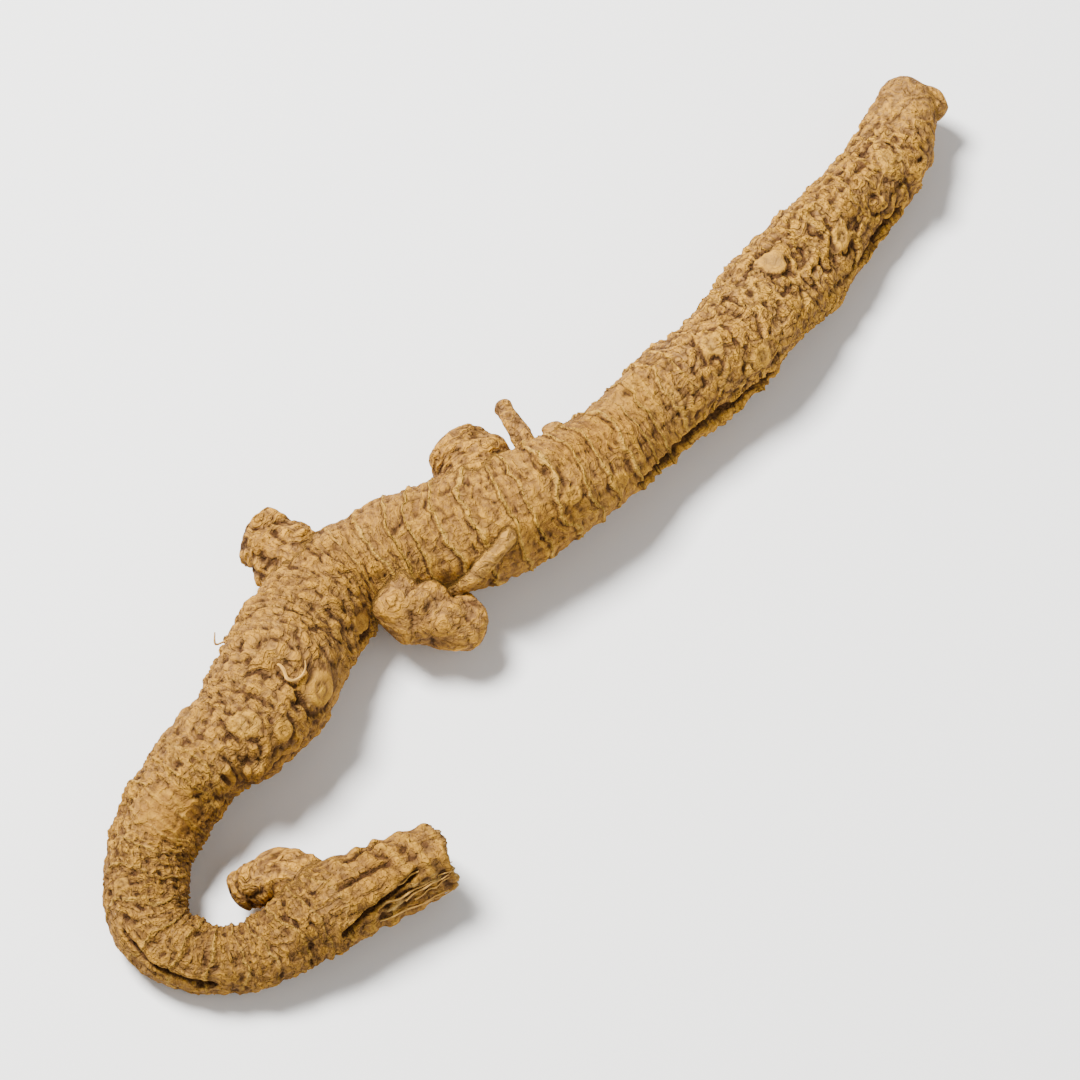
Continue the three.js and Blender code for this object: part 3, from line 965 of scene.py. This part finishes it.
def bark_lines(tree, place, field):
    """Lines finer than the mesh, each 1 on its line and 0 away from it."""
    lively = ranged(tree, field["calm"], 0, 1, 1, 0.15)
    # Folds follow the bark's height, so that they curl round warts.
    level = calculate(tree, "MULTIPLY", grain_noise(tree, place, 3.2, 2.8, 2), 4.5)
    level = calculate(tree, "MULTIPLY_ADD", field["height"], 1.6, level)
    # Growth rings: each a thin pale crest with a dark crease beside it, and finer ones between.
    # The pale crest is a painted highlight, and the dark crease painted shade.
    wiggle = ranged(tree, grain_noise(tree, place, 0.8, 1.1), 0.3, 0.7, -0.05, 0.05)
    rings = calculate(tree, "ADD", field["rings"], wiggle)
    finer = calculate(tree, "MULTIPLY", rings, 3)
    patches = grain_noise(tree, place, 2, 2.5)
    ringing = field["ringing"]
    some = calculate(tree, "MULTIPLY", ringing, ranged(tree, patches, 0.42, 0.6, 1, 0.4))
    others = calculate(tree, "MULTIPLY", ringing, ranged(tree, patches, 0.4, 0.5, 0.4, 1))
    lines = {
        "crease": (lively, crease_lines(tree, place, 0.9, 1.5, 0.06)),
        "wrinkle": (lively, crease_lines(tree, place, 1.6, 0.7, 0.05)),
        "crest": (lively, crease_lines(tree, place, 1.1, 2.4, 0.035)),
        "fold crest": (lively, ring_line(tree, level, 0, 0.2)),
        "fold crease": (lively, ring_line(tree, level, 0.45, 0.17)),
        "ring crest": (some, ring_line(tree, rings, 0, 0.07)),
        "ring crease": (ringing, ring_line(tree, rings, 0.115, 0.055)),
        "fine crest": (others, ring_line(tree, finer, 0, 0.14)),
        "fine crease": (others, ring_line(tree, finer, 0.3, 0.12)),
    }
    return {
        name: calculate(tree, "MULTIPLY", share, line) for name, (share, line) in lines.items()}


def dried_bark():
    """Dried unpeeled rhizome bark: cork and wrinkled skin, matte, tan, painted shade in crevices."""
    material = bpy.data.materials.new("dried rhizome bark")
    material.use_nodes = True
    tree = material.node_tree
    shader = tree.nodes["Principled BSDF"]
    field = {
        name: add(tree, "ShaderNodeAttribute", attribute_name=name).outputs["Fac"]
        for name in BARK_FIELDS}
    place = add(tree, "ShaderNodeAttribute", attribute_name="grain_place").outputs["Vector"]
    line = bark_lines(tree, place, field)
    stain = grain_noise(tree, place, 9, 7)
    streak = grain_noise(tree, place, 4, 0.5)
    dash = grain_noise(tree, place, 0.35, 1.6)
    fleck = grain_noise(tree, place, 0.7, 0.7, 4)
    dust = grain_noise(tree, place, 0.2, 0.2)
    fibrous = calculate(tree, "MULTIPLY", field["torn"], ranged(tree, streak, 0.4, 0.6, 0.3, 1))
    # Painted shade, for the bark's dips, pits, cracks and grooves and the gaps between fibres.
    shade_colour = mixed(tree, ranged(tree, fleck, 0.4, 0.6), "#4a2f1a", "#2c1a0d")
    colour = mixed(tree, ranged(tree, stain, 0.35, 0.65), "#8d693c", "#785837")
    # Colours laid over that one, the lowest first: what each follows, the values of it between
    # which the colour comes in, how strong the colour grows, and the colour.
    washes = (
        (streak, 0.45, 0.7, 0.4, "#77501f"),
        (fleck, 0.45, 0.7, 0.45, "#a97e40"),
        (field["amber"], 0.1, 1, 0.65, "#98661f"),
        # Painted highlight where the bark stands out.
        (field["proud_highlight"], 0, 1, 0.7, "#c48c2e"),
        # Painted highlight on thin crest lines.
        (line["crest"], 0, 1, 0.4, "#c8922e"),
        # The paler bark of scars, flakes and some growths, with a painted highlight on fold, ring and
        # rib crests.
        (field["pale"], 0.05, 0.9, 0.8, "#dba638"),
        # Painted highlights on fold, fine and ring crests, and painted shade in the creases beside
        # them.
        (line["fold crest"], 0, 1, 0.65, "#d0952a"),
        (line["fold crease"], 0, 1, 0.75, "#4a2e17"),
        (line["fine crest"], 0, 1, 0.6, "#d0952a"),
        (line["fine crease"], 0, 1, 0.6, "#56381c"),
        (line["ring crease"], 0, 1, 0.85, "#442812"),
        (line["ring crest"], 0, 1, 0.9, "#e2b352"),
        # Painted shade, deepest in the hook and at the broken end.
        (field["brown"], 0, 1, 0.5, "#6d4c20"),
        (dash, 0.58, 0.74, 0.45, "#664521"),
        # Painted shade in fine creases and wrinkles.
        (line["crease"], 0, 1, 0.5, "#4c3019"),
        (line["wrinkle"], 0, 1, 0.28, "#654420"),
        (fibrous, 0.1, 0.9, 0.75, "#c8a766"),
        # Painted shade in dips, pits, cracks, grooves and between fibres.
        (field["hollow_shade"], 0.15, 0.9, 0.88, shade_colour),
    )
    for source, low, high, strength, wash in washes:
        colour = mixed(tree, ranged(tree, source, low, high, 0, strength), colour, wash)
    tree.links.new(colour, shader.inputs["Base Color"])
    rough = ranged(tree, fleck, 0.3, 0.7, 0.72, 0.95)
    tree.links.new(rough, shader.inputs["Roughness"])
    shader.inputs["IOR"].default_value = 1.45
    shader.inputs["Specular IOR Level"].default_value = 0.08
    # Layers of fine relief: how far each stands out in mm, or sinks in where it is below 0.
    reliefs = (
        (line["crease"], -0.14),
        (line["wrinkle"], -0.08),
        (line["crest"], 0.1),
        (line["fold crest"], 0.18),
        (line["fold crease"], -0.22),
        (line["ring crest"], 0.2),
        (line["ring crease"], -0.22),
        (line["fine crest"], 0.14),
        (fleck, 0.2),
        (dust, 0.06),
    )
    normal = None
    for height, depth in reliefs:
        links = {"Height": height}
        if normal:
            links["Normal"] = normal
        values = {"Strength": 0.8, "Distance": abs(depth) * MM}
        normal = add(tree, "ShaderNodeBump", values, links, invert=depth < 0).outputs["Normal"]
    tree.links.new(normal, shader.inputs["Normal"])
    return material


def bare_fibre():
    """Pale bare root fibre, dry and slightly glossy."""
    material = bpy.data.materials.new("bare root fibre")
    material.use_nodes = True
    tree = material.node_tree
    shader = tree.nodes["Principled BSDF"]
    place = add(tree, "ShaderNodeAttribute", attribute_name="grain_place").outputs["Vector"]
    streak = grain_noise(tree, place, 2, 0.1)
    colour = mixed(tree, ranged(tree, streak, 0.35, 0.65), "#d2a04a", "#9a7032")
    tree.links.new(colour, shader.inputs["Base Color"])
    shader.inputs["Roughness"].default_value = 0.6
    shader.inputs["Specular IOR Level"].default_value = 0.25
    return material


def floor_paper():
    """Matt pale studio paper."""
    material = bpy.data.materials.new("pale paper")
    material.use_nodes = True
    tree = material.node_tree
    shader = tree.nodes["Principled BSDF"]
    place = add(tree, "ShaderNodeTexCoord").outputs["Object"]
    tone = add(tree, "ShaderNodeTexNoise", {"Scale": 3.0, "Detail": 2},
               {"Vector": place}).outputs["Fac"]
    colour = mixed(tree, ranged(tree, tone, 0.3, 0.7), "#f4f3f1", "#f0efec")
    tree.links.new(colour, shader.inputs["Base Color"])
    shader.inputs["Roughness"].default_value = 0.8
    shader.inputs["Specular IOR Level"].default_value = 0.2
    return material


# The object

root = make_root()
root.data.materials.clear()
root.data.materials.append(dried_bark())
fibre = bare_fibre()
strands = [
    run_surface("curled_fibre", run_on_bark(CURLED_FIBRE), 60, 10, 0.1, fibre_bark),
    run_surface("whisker", run_on_bark(WHISKER), 40, 10, 0.08, fibre_bark),
] + frayed_fibres()
for strand in strands:
    strand.data.materials.append(fibre)
settle(root, strands)
for piece in [root] + strands:
    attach(piece, "root")
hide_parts("orris_root")


# Floor, light and camera

def make_floor():
    """A wide level sheet of paper under the root."""
    sheet = bmesh.new()
    bmesh.ops.create_grid(sheet, x_segments=1, y_segments=1, size=2.5)
    mesh = bpy.data.meshes.new("studio_floor")
    sheet.to_mesh(mesh)
    sheet.free()
    mesh.materials.append(floor_paper())
    floor = bpy.data.objects.new("studio_floor", mesh)
    bpy.context.scene.collection.objects.link(floor)


def soft_light(name, place, size, power, aim):
    """A square lamp that points at its aim."""
    data = bpy.data.lights.new(name, "AREA")
    data.shape = "SQUARE"
    data.size = size
    data.energy = power
    lamp = bpy.data.objects.new(name, data)
    lamp.location = place
    lamp.rotation_euler = (Vector(aim) - Vector(place)).to_track_quat("-Z", "Y").to_euler()
    bpy.context.scene.collection.objects.link(lamp)


# The photo looks down at 45 degrees and the root leans towards it, so it is seen as if from
# 62 degrees when it lies level. Lengths are in metres, the sensor's in millimetres.
CAMERA_RISE = 62
CAMERA_DISTANCE = 0.52
VIEW_WIDTH = 0.144
SENSOR = 36
AIM = Vector((-0.0009, -0.0049, 0.006))
# Each light's place and size in metres, and its power in watts.
KEY_LIGHT = ((-0.33, 0.2, 0.7), 0.26, 24)
FILL_LIGHT = ((0.6, -0.5, 0.6), 0.9, 4)
ROOM_LIGHT = 0.4


def make_camera():
    """The camera that the picture is taken with."""
    data = bpy.data.cameras.new("camera")
    data.sensor_width = SENSOR
    data.lens = SENSOR * CAMERA_DISTANCE / VIEW_WIDTH
    camera = bpy.data.objects.new("camera", data)
    rise = math.radians(CAMERA_RISE)
    away = Vector((0, -math.cos(rise), math.sin(rise)))
    camera.location = AIM + CAMERA_DISTANCE * away
    camera.rotation_euler = (math.pi / 2 - rise, 0, 0)
    bpy.context.scene.collection.objects.link(camera)
    bpy.context.scene.camera = camera


make_floor()
soft_light("key", *KEY_LIGHT, AIM)
soft_light("fill", *FILL_LIGHT, AIM)
make_camera()

world = bpy.data.worlds.new("studio")
world.use_nodes = True
world.node_tree.nodes["Background"].inputs["Color"].default_value = (1, 1, 1, 1)
world.node_tree.nodes["Background"].inputs["Strength"].default_value = ROOM_LIGHT
bpy.context.scene.world = world
